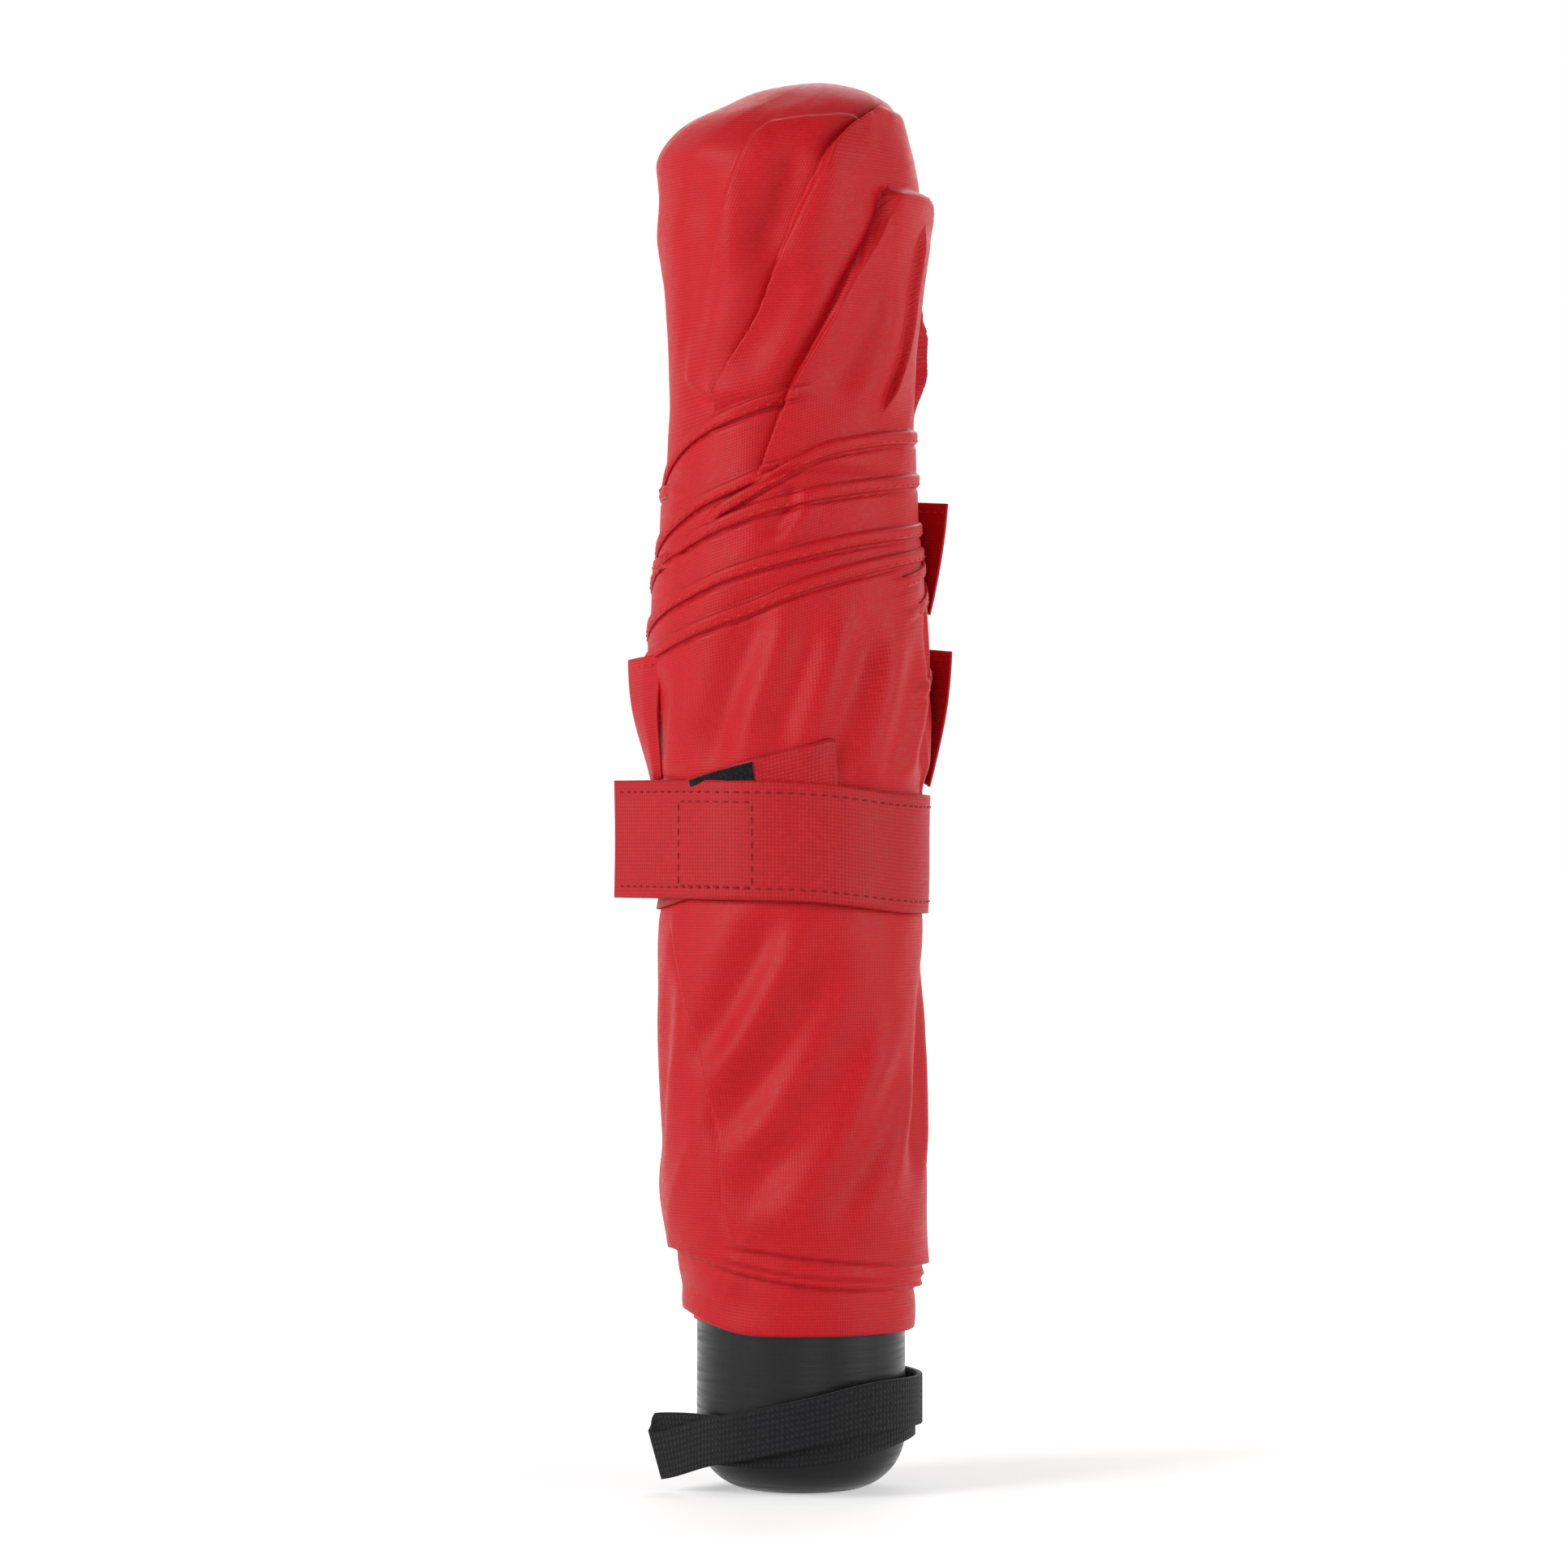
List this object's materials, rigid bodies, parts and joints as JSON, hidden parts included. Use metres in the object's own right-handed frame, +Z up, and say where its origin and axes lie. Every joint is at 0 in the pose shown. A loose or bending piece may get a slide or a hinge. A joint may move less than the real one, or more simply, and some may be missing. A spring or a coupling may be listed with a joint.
{
  "type": "folding umbrella",
  "caption": "Compact folding umbrella, closed and tied: a cloth canopy rolled round its folded ribs, a telescoping steel shaft, and a round grip with a wrist strap.",
  "frame": {"origin": "centre of the grip's flat base", "axes": "+Z up the shaft to the top of the rolled canopy; -Y is the front, where the tie strap's tab and the wrist strap lie; +X is to the right seen from the front"},
  "size_m": [0.0555, 0.0486, 0.24],
  "materials": {
    "canopy_red": "plain woven polyester, slight sheen",
    "grip_black": "satin",
    "webbing_black": "ribbed woven webbing",
    "touch_black": "hook and loop tape",
    "plastic_nylon": "moulded nylon",
    "tube_steel": "plated, satin",
    "rib_steel": "black zinc",
    "spring_steel": "bright spring strip"
  },
  "bodies": {
    "handle": {"grip": "grip_black", "end_cap": "grip_black", "shaft_socket": "plastic_nylon", "socket_pin": "tube_steel", "wrist_strap_pin": "tube_steel", "lower_tube": "tube_steel", "lower_catch": "spring_steel"},
    "middle": {"middle_tube": "tube_steel", "middle_catch": "spring_steel"},
    "canopy": {"upper_tube": "tube_steel", "crown": "plastic_nylon", "crown_wire": "rib_steel", "runner": "plastic_nylon", "runner_wire": "rib_steel", "canopy_washer": "canopy_red", "ferrule_cap": "grip_black", "inner_rib_1": "rib_steel", "inner_rib_2": "rib_steel", "inner_rib_3": "rib_steel", "inner_rib_4": "rib_steel", "inner_rib_5": "rib_steel", "inner_rib_6": "rib_steel", "inner_rib_7": "rib_steel", "inner_rib_8": "rib_steel", "middle_rib_1": "rib_steel", "middle_rib_2": "rib_steel", "middle_rib_3": "rib_steel", "middle_rib_4": "rib_steel", "middle_rib_5": "rib_steel", "middle_rib_6": "rib_steel", "middle_rib_7": "rib_steel", "middle_rib_8": "rib_steel", "outer_rib_1": "rib_steel", "outer_rib_2": "rib_steel", "outer_rib_3": "rib_steel", "outer_rib_4": "rib_steel", "outer_rib_5": "rib_steel", "outer_rib_6": "rib_steel", "outer_rib_7": "rib_steel", "outer_rib_8": "rib_steel", "stretcher_1": "rib_steel", "stretcher_2": "rib_steel", "stretcher_3": "rib_steel", "stretcher_4": "rib_steel", "stretcher_5": "rib_steel", "stretcher_6": "rib_steel", "stretcher_7": "rib_steel", "stretcher_8": "rib_steel", "rib_rivets": "rib_steel", "rib_tips": "plastic_nylon", "canopy_roll": "canopy_red", "tie_strap": "canopy_red", "loop_patch": "touch_black"},
    "runner_catch": {"runner_catch": "spring_steel"},
    "tie_tab": {"tie_tab": "canopy_red", "hook_patch": "touch_black"},
    "wrist_strap": {"wrist_strap": "webbing_black"}
  },
  "joints": [
    {"name": "middle_tube_slide", "type": "slide", "parent": "handle", "child": "middle", "axis": [0, 0, 1], "range_m": [0, 0.12]},
    {"name": "upper_tube_slide", "type": "slide", "parent": "middle", "child": "canopy", "axis": [0, 0, 1], "range_m": [0, 0.12]},
    {"name": "runner_catch_press", "type": "slide", "parent": "canopy", "child": "runner_catch", "axis": [1, 0, 0], "range_m": [-0.0022, 0], "stiffness_N_per_m": 300},
    {"name": "tie_tab_peel", "type": "hinge", "parent": "canopy", "child": "tie_tab", "pos_m": [0.0021, -0.02406, 0.11], "axis": [0, 0, 1], "range_deg": [0, 110]},
    {"name": "wrist_strap_swing", "type": "hinge", "parent": "handle", "child": "wrist_strap", "pos_m": [0.00775, 0.01342, 0.0128], "axis": [0, 0, 1], "range_deg": [0, 90]}
  ]
}
